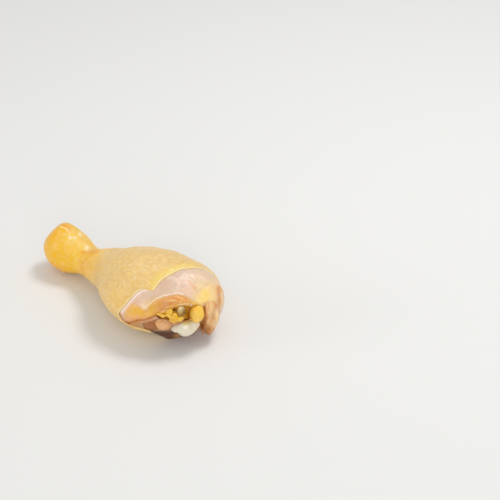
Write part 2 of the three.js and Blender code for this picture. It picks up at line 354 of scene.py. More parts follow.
HOCK_ENDS = [((-68.3, 1.2, 13.4), (4.6, 4.8, 6.2), -18), ((-66.1, 8.6, 13.6), (4.6, 4.6, 5.8), -18)]


def cartilage_form(p):
    d = ellipsoid(p, *CARTILAGE)
    d = smin(d, ellipsoid(p, *CARTILAGE_LEFT), 2.5)
    d = smin(d, ellipsoid(p, *CARTILAGE_RIGHT), 2.5)
    d = smax(d, -ellipsoid(p, *CARTILAGE_NOTCH), 1.6)
    return d + 0.2 * smooth_noise(p, 3.2, 59)


def large_fat_form(p):
    d = smin(ellipsoid(p, *FAT_TOP), ellipsoid(p, *FAT_LOW), 2.5)
    return d + 0.3 * smooth_noise(p, 4.5, 61) + 0.12 * smooth_noise(p, 2.0, 62)


def tendon_form(p):
    d = smin(rod(p, *TENDON), rod(p, *TENDON_EDGE), 0.8)
    d = smax(d, (p - TENDON_CUT_AT) @ TENDON_CUT, 1.0)
    return d + 0.35 * smooth_noise(p, 2.2, 65)


# Small lumps of fat, each with a middle, radii and pitch, and the core that joins them
SMALL_FAT_CORE = ((60.2, -16.6, 27.0), (5.6, 2.2, 2.6), TURN)
SMALL_FATS = [((56.0, -22.6, 27.9), (3.1, 1.6, 1.2), -24), ((59.9, -18.9, 30.2), (2.2, 2.2, 2.5), 20),
              ((60.6, -18.8, 27.2), (2.6, 2.0, 1.5), -30), ((63.0, -17.4, 27.3), (1.9, 2.0, 2.6), 12),
              ((65.2, -15.4, 25.6), (2.7, 2.0, 1.7), 18), ((62.2, -18.5, 24.6), (2.4, 2.0, 1.5), -12)]


def small_fat_form(p):
    d = None
    for at, r, pitch in SMALL_FATS:
        lump = ellipsoid(p, at, r, TURN, pitch)
        d = lump if d is None else smin(d, lump, 0.5)
    d = smin(d, ellipsoid(p, *SMALL_FAT_CORE), 0.5)
    return d + 0.35 * smooth_noise(p, 1.7, 67)


def hock_cartilage_form(p):
    first, second = HOCK_ENDS
    return smin(ellipsoid(p, *first), ellipsoid(p, *second), 2)


# In front of the large fat and the tendon the meat is cut back: place, length towards the camera, radius
CLEARED = [(FAT_AT, 9.0, 4.1), ((65.0, -13.6, 30.6), 8.0, 2.4)]
# Pieces that sit in pockets of the meat
POCKETS = [cartilage_form, large_fat_form, tendon_form, small_fat_form]


def drawn_relief(p):
    """Height of the drawn creases, bands and hollows above the plain surface, in millimetres."""
    q = drawn(p)
    gold, band = depth_in(q, GOLD_AREA), depth_in(q, BAND_AREA)
    basin, socket = depth_in(q, BASIN_AREA), depth_in(q, SOCKET_AREA)
    h = smax(0.8 * step(-0.5, 5.0, gold), 1.0 * step(-0.5, 3.5, band), 0.3)
    h = h - 0.28 * step(-1.5, 0.5, np.maximum(gold, band))
    h = h + 0.22 * near(to_line(q, FASCIA), 0.8) + 0.12 * near(to_line(q, FASCIA_LOW), 0.7)
    h = h - 0.8 * near(to_line(q, LOW_CREASE), 1.1) + 0.45 * near(to_line(q, WHITE_RIM_AND_SHEEN), 1.5)
    h = h - 0.9 * step(-0.5, 1.0, depth_in(q, FLAP_AREA)) - 0.3 * step(-1.0, 1.0, depth_in(q, STRIP_AREA))
    h = h - 3.6 * step(-0.8, 3.2, basin) - 2.2 * step(-1.0, 2.0, socket) * step(-34.0, -28.0, q[..., 1])
    h = h - 2.0 * oval(q, *HOLLOW) + 0.7 * step(0.0, 2.5, basin) * smooth_noise(p, 2.0, 37)
    h = h - 1.5 * near(to_line(q, LOBE_LEFT), 1.6) - 0.4 * near(to_line(q, SIDE_CREASE), 1.5)
    h = h - 0.15 * near(to_line(q, PINK_CREASE), 1.5)
    for streak in DOME_STREAKS:
        h = h + 0.12 * near(to_line(q, streak), 1.4)
    for seam in BAND_SEAMS:
        h = h - 0.28 * near(to_line(q, seam), 1.3)
    for fold in SHEEN_FOLDS:
        h = h + 0.2 * near(to_line(q, fold), 1.1)
    for slit in SLITS:
        h = h - 1.2 * near(to_line(q, slit), 0.9)
    h = h + 0.9 * step(-0.5, 2.5, depth_in(q, LOBE_AREA)) * layered(p * (0.9, 0.9, 0.5), 3.0, 23)
    smooth_area = np.maximum(np.maximum(gold, band), np.maximum(basin, socket))
    h = h + 0.14 * step(1.0, -2.0, smooth_area) * layered(p * (1.0, 0.5, 1.0), 3.2, 27)
    return h


def bare_form(p, leg):
    """Bare meat at the knee: the leg without its skin, with the muscles, markings and pockets."""
    d = leg + 0.4
    d = smin(d, ellipsoid(p, *CALF_MUSCLE), 2)
    d = smin(d, chain(p, *BAND), 2)
    d = smin(d, chain(p, *UNDER), 1)
    d = smin(d, ellipsoid(p, *SIDE_MUSCLE), 3)
    d = smax(d, -chain(p, *CLEFT), 2)
    d = smin(d, chain(p, *LOBE), 1.2)
    surface = np.abs(d) < 5.0
    shown = facing(p[surface])
    d[surface] = d[surface] - shown * drawn_relief(p[surface])
    d = smin(d, ellipsoid(p, *ROUND_MUSCLE), 0.5)
    d = d + 0.16 * layered(p, 6.0, 11) + 0.07 * smooth_noise(p, 1.6, 17)
    for pocket in POCKETS:
        d = smax(d, -0.08 - pocket(p), 0.3)
    for at, out, r in CLEARED:
        d = smax(d, -rod(p, at, np.array(at) + out * DRAWN_BACK, r, r + 0.4), 0.8)
    return smax(d, 0.5 - p[..., 2], 0.8)


def meat_form(p):
    """All the meat: under the skin up to its edge, and bare past it."""
    leg = leg_form(p)
    under_skin = SKIN_THICK + 0.12
    deep = smax(leg + under_skin, under_skin - p[..., 2], 1.0)
    past = p[..., 0] - edge_at(edge_angle(p))
    d = deep
    close = (np.abs(leg) < 7) & (past > -2)
    q = p[close]
    share = step(-0.15, 1.0, past[close])
    bare = bare_form(q, leg[close])
    d[close] = deep[close] * (1 - share) + bare * share
    hock = (p @ CUT_DIRECTION) - (CUT_AT - 1.4)
    d = smax(d, hock, 1.0)
    return smax(d, 0.15 - hock_cartilage_form(p), 0.6)


# Meshes
def grid_axis(spans):
    """Sample places from (start, end, spacing) spans, end to end."""
    parts = [np.arange(a, b - 1e-6, s) for a, b, s in spans]
    return np.concatenate(parts + [[spans[-1][1]]])


def mesh_of(form, xs, ys, zs):
    """The largest connected part of the surface where a form is 0, as points and four-sided faces."""
    values = np.empty((len(xs), len(ys), len(zs)), np.float32)
    yy, zz = np.meshgrid(ys, zs, indexing="ij")
    for i in range(0, len(xs), 8):
        block = xs[i:i + 8]
        p = np.empty((len(block),) + yy.shape + (3,))
        p[..., 0] = block[:, None, None]
        p[..., 1] = yy
        p[..., 2] = zz
        values[i:i + 8] = form(p.reshape(-1, 3)).reshape(p.shape[:-1])
    grid = openvdb.FloatGrid(50.0)
    grid.copyFromArray(values)
    points, quads = grid.convertToQuads(0.0)
    place = [np.interp(points[:, k], np.arange(len(axis)), axis) for k, axis in enumerate((xs, ys, zs))]
    return largest_part(np.stack(place, -1), quads)


def largest_part(points, faces):
    """The largest connected part of a mesh, without stray bits."""
    label, spread = None, np.arange(len(points))
    while label is None or (spread != label).any():
        label = spread
        spread = label.copy()
        np.minimum.at(spread, faces.ravel(), np.repeat(label[faces].min(axis=1), faces.shape[1]))
        spread = spread[spread]
    kept = label == np.bincount(label).argmax()
    faces = faces[kept[faces[:, 0]]]
    return points[kept], (np.cumsum(kept) - 1)[faces]


def outward(points, faces):
    a, b, c, d = (points[faces[:, i]] for i in range(4))
    volume = np.einsum("ij,ij->i", a, np.cross(b, c)).sum() + np.einsum("ij,ij->i", a, np.cross(c, d)).sum()
    return faces if volume > 0 else faces[:, ::-1]


def add_mesh(name, points, faces):
    faces = outward(points, np.asarray(faces))
    mesh = bpy.data.meshes.new(name)
    mesh.vertices.add(len(points))
    mesh.vertices.foreach_set("co", (points * MM).astype(np.float32).ravel())
    mesh.loops.add(faces.size)
    mesh.loops.foreach_set("vertex_index", faces.astype(np.int32).ravel())
    mesh.polygons.add(len(faces))
    mesh.polygons.foreach_set("loop_start", np.arange(0, faces.size, 4, dtype=np.int32))
    mesh.update(calc_edges=True)
    mesh.validate()
    mesh.polygons.foreach_set("use_smooth", np.ones(len(mesh.polygons), bool))
    obj = bpy.data.objects.new(name, mesh)
    bpy.context.scene.collection.objects.link(obj)
    return obj


def paint(obj, colours):
    """Stores a colour for each vertex, given as display values from 0 to 255."""
    linear = np.clip(colours, 0, 255) / 255
    linear = np.where(linear <= 0.04045, linear / 12.92, ((linear + 0.055) / 1.055) ** 2.4)
    data = np.ones((len(linear), 4), np.float32)
    data[:, :3] = linear
    layer = obj.data.color_attributes.new("tint", "FLOAT_COLOR", "POINT")
    layer.data.foreach_set("color", data.ravel())


# Skin: a sleeve of rings from the hock cut to its ragged edge
def on_skin(x, angle, level):
    """Points at a depth level on the leg, found along rays from its middle line."""
    start = spine(x)
    ray = np.stack([np.zeros_like(x), np.cos(angle), np.sin(angle)], -1)
    low, high = np.zeros_like(x), np.full_like(x, 42.0)
    for _ in range(22):
        middle = (low + high) / 2
        outside = resting(start + ray * middle[..., None]) > level
        high = np.where(outside, middle, high)
        low = np.where(outside, low, middle)
    return start + ray * low[..., None], ray


def knee_limit(angle):
    """Where the ring of rays at each angle leaves the skin at the knee."""
    x = np.full_like(angle, 50.0)
    for _ in range(12):
        p, _ray = on_skin(x, angle, 0.0)
        x = x * 0.3 + 0.7 * edge_at(edge_angle(p))
    return x


def hock_limit(angle):
    low, high = np.full_like(angle, -76.0), np.full_like(angle, -55.0)
    for _ in range(18):
        middle = (low + high) / 2
        p, _ray = on_skin(middle, angle, 0.0)
        cut_off = p @ CUT_DIRECTION > CUT_AT
        low = np.where(cut_off, middle, low)
        high = np.where(cut_off, high, middle)
    return high


# Crease where the smooth knob meets the bumpy skin: angle round the neck and place along it
NECK_CREASE = np.array([(0, -28.0), (45, -26.0), (90, -25.1), (110, -26.2), (128, -29.6), (150, -32.4),
                        (170, -32.8), (202, -32.3), (240, -31.5), (290, -30.5), (330, -29.5), (360, -28.0)])


# Folds on the knob and the neck on the drawing, the hollow beside one, and a small spur of skin
TOP_FOLD = [(-110, 75.6), (-105.2, 74.3), (-101.8, 71.2)]
TOP_FOLD_HOLLOW = shifted(TOP_FOLD, 0.6, 1.6)
NECK_FOLD = [(-87, 49.5), (-80, 50.2), (-74, 50.8)]
NECK_ARC = [(-90.7, 43.5), (-89.6, 37), (-86.5, 30.5)]
SPUR_AT = np.array([-53.6, -5.8, 3.4])


def neck_side(p):
    """How far past the neck crease a point is, towards the knee."""
    angle = np.degrees(np.arctan2(p[..., 2] - 15.2, p[..., 1] - 3.4)) % 360
    return p[..., 0] - np.interp(angle, NECK_CREASE[:, 0], NECK_CREASE[:, 1]) + 1.6 * smooth_noise(p, 7.0, 31)


def follicle_tops(p):
    """1 at the top of each follicle, fading to 0 round it."""
    return np.exp(-(pimples(p * (0.8, 1, 1), 2.5, 5) / 0.40) ** 2)


def skin_relief(p):
    """Height of folds and follicles on the skin, in millimetres."""
    side = neck_side(p)
    bumpy = step(-3.0, 24.0, side)
    follicles = 0.48 * follicle_tops(p) - 0.17
    folds = 0.30 * layered(p * (1, 0.7, 0.7), 13.0, 41) + 0.22 * layered(p, 5.0, 47)
    patchy = 0.65 + 0.35 * smooth_noise(p, 17.0, 53)
    h = bumpy * (follicles * patchy + folds)
    h = h + (1 - bumpy) * (0.16 * layered(p, 8.0, 59) + 0.02 * smooth_noise(p, 1.5, 57))
    crease = 0.15 + 0.5 * step(-0.3, 0.5, smooth_noise(p, 9.0, 33))
    h = h - 0.15 * crease * np.exp(-(side / 1.8) ** 2) - 0.25 * step(4.0, -4.0, side)
    wrinkle = np.sin(side * 1.1 + 2.2 * smooth_noise(p, 7.0, 63))
    h = h + 0.16 * wrinkle * np.exp(-((side - 1.0) / 5.5) ** 2)
    q, shown = drawn(p), facing(p)
    h = h + shown * 0.5 * near(to_line(q, TOP_FOLD), 1.3)
    h = h - shown * 0.45 * near(to_line(q, TOP_FOLD_HOLLOW), 1.2)
    h = h - shown * 0.18 * near(to_line(q, NECK_FOLD), 1.8) - shown * 0.05 * near(to_line(q, NECK_ARC), 2.2)
    return h + 1.3 * np.exp(-((p - SPUR_AT) ** 2).sum(-1) / 0.8)


def ring_angles(count):
    """Angles round the leg, closer together where the skin's edge turns sharply."""
    spread = np.linspace(0, 2 * np.pi, 3601)
    density = 1 + 1.6 * np.exp(-((spread - 2.57) / 0.07) ** 2) + 1.4 * np.exp(-((spread - 3.50) / 0.09) ** 2)
    share = np.concatenate([[0], np.cumsum((density[1:] + density[:-1]) / 2)])
    return np.interp(np.arange(count) / count, share / share[-1], spread)


def build_skin():
    """Points and faces of the sleeve: outside, rim at the knee, inside, and rim at the hock."""
    around = 340
    along = 232
    angle = ring_angles(around)
    start, end = hock_limit(angle), knee_limit(angle)
    apart = (angle[:, None] - angle[None, :] + np.pi) % (2 * np.pi) - np.pi
    weight = np.exp(-(apart / 0.22) ** 2)
    even = weight @ end / weight.sum(1)
    rows = []
    edge_drop, hock_bulge = 0.35, 0.35
    for t in np.linspace(0, 1, along):
        x = start * (1 - t) + even * t + (end - even) * step(0.84, 1.0, t)
        rows.append((x, -edge_drop * step(5.0, 0.0, end - x), 1 - 0.8 * step(1.5, 0.0, end - x)))
    rim = (SKIN_THICK - edge_drop) / 2
    for turn in np.linspace(0, np.pi, 7)[1:]:
        level = -edge_drop - rim * (1 - np.cos(turn))
        rows.append((end + rim * np.sin(turn), level, 0.1 + 0.1 * np.cos(turn)))
    near_knee = np.linspace(0, 0.04, 5)[1:]
    between = np.linspace(0.04, 0.96, 22)[1:-1]
    near_hock = np.linspace(0.96, 1, 4)[:-1]
    for t in np.concatenate([near_knee, between, near_hock]):
        x = end * (1 - t) + start * t
        rows.append((x, -SKIN_THICK, 0.0))
    for turn in np.linspace(np.pi, 0, 7)[:-1]:
        level = SKIN_THICK * (np.cos(turn) - 1) / 2
        rows.append((start - hock_bulge * np.sin(turn), level, (np.cos(turn) + 1) / 2))
    x = np.stack([r[0] for r in rows])
    level = np.stack([r[1] + np.zeros(around) for r in rows])
    lift = np.stack([r[2] + np.zeros(around) for r in rows])
    p, ray = on_skin(x, np.broadcast_to(angle, x.shape), level)
    lean = np.abs(np.roll(end, 1) - np.roll(end, -1))
    calm = 1 - (weight ** 12 @ np.minimum(lean, 1.5) / (weight ** 12).sum(1) / 1.5)
    late = np.clip((x - even[None, :]) / 12 + 1, 0, 1)
    relief = skin_relief(p.reshape(-1, 3)).reshape(x.shape) * (1 - late * (1 - calm))
    p = p + ray * (relief * lift)[..., None]
    p[..., 2] = np.maximum(p[..., 2], 0.0)
    count = len(rows)
    i, j = np.meshgrid(np.arange(count), np.arange(around), indexing="ij")
    ni, nj = (i + 1) % count, (j + 1) % around
    faces = np.stack([i * around + j, ni * around + j, ni * around + nj, i * around + nj], -1).reshape(-1, 4)
    return p.reshape(-1, 3), faces


def mix(colours, other, share):
    return colours * (1 - share[:, None]) + np.array(other, float) * share[:, None]


def dabs(c, q, shown, strokes):
    """Colours with oval dabs of paint added, each with a colour, strength, place, size and turn."""
    for colour, strength, at, r, turn in strokes:
        c = mix(c, colour, shown * np.clip(strength * oval(q, at, r, turn), 0, 1))
    return c


# Dabs and spots on the skin
SHOULDER_DABS = [((238, 192, 98), 0.65, (-51, 3), (9, 12), 20)]
EDGE_SHADE = ((-41, -20), (15, 8), 30)
NECK_DABS = [((243, 188, 80), 0.8, (-83, 35), (9, 12), 0)]
KNOB_GLINTS = [((253, 234, 202), 0.85, (-100, 64.3), (1.9, 1.9), 0),
               ((253, 234, 202), 0.85, (-95, 64.3), (1.5, 1.5), 0),
               ((253, 234, 202), 0.85, (-90, 67.7), (1.9, 1.9), 0),
               ((253, 234, 202), 0.85, (-83.4, 54), (2.8, 2.8), 0)]


def skin_colours(p):
    side = neck_side(p)
    q, shown = drawn(p), facing(p)
    c = np.tile(np.array([235.0, 201, 134]), (len(p), 1))
    c = mix(c, (230, 193, 118), 0.5 + 0.5 * layered(p, 14.0, 71))
    c = mix(c, (243, 212, 158), 0.55 * step(0.1, 0.7, layered(p, 9.0, 73)))
    tops = follicle_tops(p)
    bumpy = step(-3.0, 8.0, side)
    # Follicle tops painted lighter and the hollows between them darker: partly the skin's own pattern, partly
    # painted highlight and shade on the bumps
    c = mix(c, (246, 220, 162), 0.34 * bumpy * step(0.25, 0.95, tops))
    c = mix(c, (220, 176, 114), 0.30 * bumpy * step(0.35, 0.02, tops))
    c = mix(c, (224, 182, 140), 0.4 * bumpy * step(0.2, 0.8, layered(p, 4.0, 75)))
    c = mix(c, (232, 188, 100), 0.55 * step(16, 0, side))
    c = mix(c, (248, 200, 96), 0.8 * np.exp(-((side - 3.0) / 7.0) ** 2))
    c = mix(c, (243, 194, 62), step(9.0, -9.0, side))
    c = mix(c, (243, 182, 40), 0.9 * step(-6, -24, side) * step(-0.6, 0.4, layered(p, 14.0, 79) + 0.3))
    c = mix(c, (240, 200, 104), 0.75 * near(ellipsoid(p, (-46, 4, 30), (9, 8, 4)), 5.0))
    c = mix(c, (242, 182, 64), 0.6 * near(ellipsoid(p, (-66, 4, 30), (8, 9, 4)), 2.5))
    c = mix(c, (245, 174, 74), 0.8 * near(ellipsoid(p, (-62, -6, 7), (9, 5, 3)), 2.5))
    back_edge = edge_at(edge_angle(p)) - p[:, 0]
    above_edge = step(7.5, 2.5, back_edge) * step(-24, -16, q[:, 0]) * step(34, 16, q[:, 0])
    c = mix(c, (240, 208, 104), 0.65 * shown * above_edge)
    c = dabs(c, q, shown, SHOULDER_DABS)
    c = mix(c, (245, 224, 172), 0.7 * near(np.abs(back_edge - 0.3), 0.8))
    c = mix(c, (186, 118, 62), shown * 0.9 * near(back_edge, 1.0) * oval(q, *EDGE_SHADE))
    c = dabs(c, q, shown, NECK_DABS)
    # Darker orange along the neck crease, its fold and its arc: painted shade in the creases
    c = mix(c, (226, 156, 66), 0.15 * np.exp(-(side / 2.0) ** 2))
    c = mix(c, (232, 162, 60), shown * 0.75 * near(to_line(q, NECK_FOLD), 2.2))
    c = mix(c, (234, 168, 70), shown * 0.25 * near(to_line(q, NECK_ARC), 2.2))
    # Painted shade in the hollow beside the top fold, and a painted highlight along the fold's ridge
    c = mix(c, (232, 150, 50), shown * 0.5 * near(to_line(q, TOP_FOLD_HOLLOW), 1.8))
    c = mix(c, (252, 226, 170), shown * 0.8 * near(to_line(q, TOP_FOLD), 0.9))
    c = dabs(c, q, shown, KNOB_GLINTS)
    return mix(c, (240, 226, 196), np.exp(-((p - SPUR_AT) ** 2).sum(-1) / 1.2))


# Dabs and lines of colour on the meat, among them painted shade and painted highlight
MEMBRANE_DABS = [((228, 200, 168), 0.8, (30, 24), (14, 10), 0), ((214, 180, 154), 0.7, (-4, 18), (12, 7), 35),
                 ((238, 200, 176), 0.85, (18, 13), (7, 8), 0)]
YELLOW_SPOTS = [(1.0, (35, 10), (9, 9)), (0.8, (31, 1), (6, 5)), (0.6, (41, 2), (6, 6))]
SIDE_DABS = [((246, 206, 144), 0.9, (48, 9), (6, 13), 0)]
SIDE_RIM = [(51.5, 8), (52.5, 0), (51.5, -6.5)]
LEFT_DABS = [((226, 190, 168), 0.8, (-31, 6), (12, 5), 38),
             ((230, 178, 138), 0.85, (-37, -2.5), (7, 4.5), 35),
             ((224, 182, 152), 0.6, (-43, 0), (4, 4), 0), ((240, 210, 180), 0.6, (-24, 0), (4, 3), 0)]
GOLD_LOW_DABS = [((240, 172, 116), 0.7, (-34, -17), (9, 2.6), 0)]
GOLD_LINE = [(-38, -9), (-30, -10.5), (-20, -10), (-15, -7)]
GOLD_DABS = [((226, 171, 58), 0.9, (-16, -5.5), (5.5, 7.5), -35),
             ((244, 214, 182), 0.9, (-27, -4), (3.6, 2.6), -30)]
BAND_DABS = [((214, 144, 92), 0.65, (-4, -1), (6, 4), 30), ((222, 150, 48), 0.8, (11, 4), (7, 2.6), -10)]
BAND_END = [(22, -0.5), (28, -3), (34, -6)]
SOCKET_RIM = [(13, -20), (20, -18), (25, -17)]
# The first dab is painted shade in the deepest spot of the hollow
BASIN_DABS = [((172, 108, 26), 0.9, (18.6, -11.5), (2.8, 5.5), 0),
              ((206, 152, 108), 0.9, (-1, -22), (5, 5), 0)]
LOW_DABS = [((176, 128, 72), 0.8, (7, -33.5), (3.5, 3), 0), ((214, 172, 116), 0.9, (29, -31), (3.5, 3), 0)]
LOBE_DABS = [((244, 198, 124), 0.8, (39, -3), (5, 4), 0), ((232, 198, 152), 0.8, (46, -18), (3, 10), 0)]
# Darker orange on the lobe's lower left, beside its crease: painted shade
LOBE_SHADE_DABS = [((192, 130, 68), 0.75, (35, -20), (2.4, 9), 0), ((158, 100, 44), 0.8, (37, -29), (3, 5), 0)]


def meat_colours(p):
    leg = leg_form(p)
    q, shown = drawn(p), facing(p)
    c = np.tile(np.array([221.0, 193, 166]), (len(p), 1))
    c = mix(c, (215, 181, 158), 0.5 + 0.5 * layered(p, 8.0, 81))
    c = mix(c, (234, 207, 179), 0.6 * step(0.0, 0.8, layered(p, 4.0, 83)))

    def blend(colour, share):
        return mix(c, colour, shown * np.clip(share, 0, 1))

    # Membrane and the right side
    c = dabs(c, q, shown, MEMBRANE_DABS)
    yellow = sum(strength * oval(q, at, r) for strength, at, r in YELLOW_SPOTS)
    c = blend((249, 214, 136), 0.95 * yellow)
    c = dabs(c, q, shown, SIDE_DABS)
    c = blend((208, 142, 84), 0.8 * near(to_line(q, SIDE_CREASE), 2.6))
    c = blend((238, 208, 160), 0.8 * near(to_line(q, SIDE_RIM), 1.3))
    c = blend((214, 182, 170), 0.45 * step(0.15, 0.7, layered(p * (1.0, 0.45, 1.0), 3.4, 89)))
    # Pale lines along the raised streaks on the dome: painted highlight
    for streak in DOME_STREAKS:
        c = blend((244, 220, 198), 0.4 * near(to_line(q, streak), 2.0))
    c = blend((228, 164, 124), 0.5 * near(to_line(q, PINK_CREASE), 1.4))

    # Left muscle and the golden muscle
    c = dabs(c, q, shown, LEFT_DABS)
    c = blend((235, 182, 108), step(-1.6, 0.8, depth_in(q, GOLD_AREA)))
    c = dabs(c, q, shown, GOLD_LOW_DABS)
    c = blend((234, 178, 72), 0.8 * near(to_line(q, GOLD_LINE), 4.0))
    c = dabs(c, q, shown, GOLD_DABS)

    # Band, its folds with painted highlight, and seams
    c = blend((222, 156, 68), step(-1.2, 1.6, depth_in(q, BAND_AREA)) * step(-19, -8, q[:, 0]))
    c = dabs(c, q, shown, BAND_DABS)
    # Cream lines along the band's folds: painted highlight on their ridges
    for fold in SHEEN_FOLDS:
        c = blend((243, 208, 146), 0.7 * near(to_line(q, fold), 0.9))
    c = blend((234, 188, 92), 0.85 * near(to_line(q, BAND_END), 1.6))
    for seam in BAND_SEAMS:
        c = blend((204, 128, 62), 0.55 * near(to_line(q, seam), 0.9))

    # Pale fibres, and painted shade beside them and in the low crease
    fading = step(15, -6, q[:, 0]) * step(-29, -25, q[:, 0])
    c = blend((250, 232, 212), (0.25 + 0.6 * fading) * near(to_line(q, FASCIA), 0.65))
    c = blend((246, 218, 178), 0.5 * fading * near(to_line(q, FASCIA_LOW), 0.7))
    # Darker orange line just below the pale fibres: painted shade beside them
    c = blend((216, 152, 82), 0.5 * near(to_line(q, shifted(FASCIA, 1.2, -2.8)), 1.2))
    # Pale rim of the left muscle: its own pale membrane, with painted highlight along it
    c = blend((247, 226, 214), 0.9 * near(to_line(q, WHITE_RIM_AND_SHEEN), 1.5))
    # Painted shade under the overhanging muscle: a broad darker band just below the low crease and a dark
    # line in it
    c = blend((206, 138, 78), 0.85 * near(to_line(q, shifted(LOW_CREASE, 0, -0.8)), 2.0))
    c = blend((174, 106, 50), 0.85 * near(to_line(q, LOW_CREASE), 0.8))

    # Hollow, flap, strip, and painted shadow over the lower muscle
    c = blend((232, 172, 58), step(-1.0, 0.6, depth_in(q, BASIN_AREA)))
    c = blend((222, 160, 52), 0.9 * near(to_line(q, SOCKET_RIM), 2.0))
    # Dabs in the hollow, the first of them painted shade in its deepest spot
    c = dabs(c, q, shown, BASIN_DABS)
    c = blend((166, 102, 46), step(-2.2, 1.2, depth_in(q, FLAP_AREA) + 0.8 * smooth_noise(p, 2.0, 87)))
    # Skin-coloured strip, painted a darker tan as shade
    c = blend((192, 148, 98), step(-1.4, 1.0, depth_in(q, STRIP_AREA)))
    # More painted shade along the left part of the low crease
    c = blend((196, 124, 62), 0.9 * near(to_line(q, LOW_CREASE[:6]), 1.7))
    # Very dark brown at the bottom of the bare end: painted shadow
    c = blend((82, 46, 20), step(-26.0, -31.0, q[:, 1]) * step(-24, -19, q[:, 0]) * step(34, 28, q[:, 0]))
    c = dabs(c, q, shown, LOW_DABS)
    c = blend((182, 118, 58), step(-0.6, 1.0, depth_in(q, SOCKET_AREA)) * step(-30, -24, q[:, 1]))

    # Lobe
    c = blend((226, 174, 116), step(-1.2, 1.2, depth_in(q, LOBE_AREA)))
    c = dabs(c, q, shown, LOBE_DABS)
    lobe = step(-0.5, 1.5, depth_in(q, LOBE_AREA))
    blotches = layered(p * (0.9, 0.9, 0.5), 2.4, 29)
    c = blend((246, 210, 158), 0.9 * lobe * step(0.0, 0.45, blotches))
    c = blend((200, 132, 72), 0.75 * lobe * step(0.0, -0.45, blotches))
    # Painted shade on the lobe's lower left and along the crease at its left
    c = dabs(c, q, shown, LOBE_SHADE_DABS)
    c = blend((172, 106, 48), 0.9 * near(to_line(q, LOBE_LEFT), 1.4))

    # Slits with painted shade, the small round muscle with a painted shade ring, the hidden sides, painted
    # shade on the underside, and the hock
    # Slits painted dark brown: painted shade in them
    for slit in SLITS:
        c = blend((104, 62, 20), 0.9 * near(to_line(q, slit), 0.9))
    # Dark ring round the small round muscle: painted shade
    c = blend((140, 88, 46), 0.6 * near(np.abs(ellipsoid(p, ROUND_AT, (5.2, 5.0, 4.2)) - 0.4), 0.7))
    c = mix(c, (222, 164, 108), near(ellipsoid(p, *ROUND_MUSCLE), 0.45))
    behind = (1 - shown) * step(30, 50, p[:, 0])
    c = mix(c, (226, 176, 130), 0.5 * behind * step(-0.2, 0.6, layered(p, 7.0, 85)))
    # Darker near the floor at the knee end: painted shade on the underside
    under = step(12, 3, p[:, 2]) * step(40, 52, p[:, 0])
    c = mix(c, (186, 128, 96), 0.5 * under)
    c = mix(c, (206, 130, 92), 0.6 * step(-0.9, -3.0, leg) * (1 - shown))
    return mix(c, (222, 150, 118), step(-56, -64, p[:, 0]))


# Materials
def nodes_of(name):
    material = bpy.data.materials.new(name)
    material.use_nodes = True
    tree = material.node_tree
    tree.nodes.clear()
    out = tree.nodes.new("ShaderNodeOutputMaterial")
    shader = tree.nodes.new("ShaderNodeBsdfPrincipled")
    tree.links.new(shader.outputs["BSDF"], out.inputs["Surface"])
    return material, tree, shader


def noise_node(tree, place, scale, detail=3.0):
    node = tree.nodes.new("ShaderNodeTexNoise")
    node.inputs["Scale"].default_value = scale
    node.inputs["Detail"].default_value = detail
    tree.links.new(place, node.inputs["Vector"])
    return node


def ranged(tree, value, low, high, source=(0.3, 0.7)):
    node = tree.nodes.new("ShaderNodeMapRange")
    node.inputs["From Min"].default_value = source[0]
    node.inputs["From Max"].default_value = source[1]
    node.inputs["To Min"].default_value = low
    node.inputs["To Max"].default_value = high
    tree.links.new(value, node.inputs["Value"])
    return node.outputs["Result"]


def wet_material(name, scale, mottling, rough, bump, soft, soft_radius, coat=0.3, cells=0.0):
    """Wet flesh: painted colour broken up by fine mottling, with uneven gloss and a fine relief."""
    material, tree, shader = nodes_of(name)
    coords = tree.nodes.new("ShaderNodeTexCoord").outputs["Object"]
    source = tree.nodes.new("ShaderNodeAttribute")
    source.attribute_name = "tint"
    colour = source.outputs["Color"]
    grain = noise_node(tree, coords, scale, 5.0)
    hsv = tree.nodes.new("ShaderNodeHueSaturation")
    tree.links.new(ranged(tree, grain.outputs["Fac"], 1 - mottling, 1 + mottling), hsv.inputs["Value"])
    broad = noise_node(tree, coords, scale * 0.35, 2.0)
    change = mottling * 1.6
    tree.links.new(ranged(tree, broad.outputs["Fac"], 1 + change, 1 - change), hsv.inputs["Saturation"])
    tree.links.new(colour, hsv.inputs["Color"])
    tree.links.new(hsv.outputs["Color"], shader.inputs["Base Color"])
    wet = noise_node(tree, coords, scale * 0.5, 3.0)
    tree.links.new(ranged(tree, wet.outputs["Fac"], rough[0], rough[1]), shader.inputs["Roughness"])
    height = noise_node(tree, coords, scale * 1.6, 4.0).outputs["Fac"]
    if cells:
        cell = tree.nodes.new("ShaderNodeTexVoronoi")
        cell.inputs["Scale"].default_value = cells
        tree.links.new(coords, cell.inputs["Vector"])
        added = tree.nodes.new("ShaderNodeMath")
        added.operation = "SUBTRACT"
        tree.links.new(height, added.inputs[0])
        tree.links.new(cell.outputs["Distance"], added.inputs[1])
        height = added.outputs[0]
    relief = tree.nodes.new("ShaderNodeBump")
    relief.inputs["Strength"].default_value = 1.0
    relief.inputs["Distance"].default_value = bump
    tree.links.new(height, relief.inputs["Height"])
    tree.links.new(relief.outputs["Normal"], shader.inputs["Normal"])
    shader.inputs["Subsurface Weight"].default_value = soft
    shader.inputs["Subsurface Radius"].default_value = soft_radius
    shader.inputs["Subsurface Scale"].default_value = 0.0015
    shader.inputs["Coat Weight"].default_value = coat
    shader.inputs["Coat Roughness"].default_value = 0.18
    shader.inputs["IOR"].default_value = 1.42
    return material


# Build the pieces
def finish_piece(obj, material, node):
    obj.data.materials.append(material)
    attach(obj, "root")
    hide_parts(node)


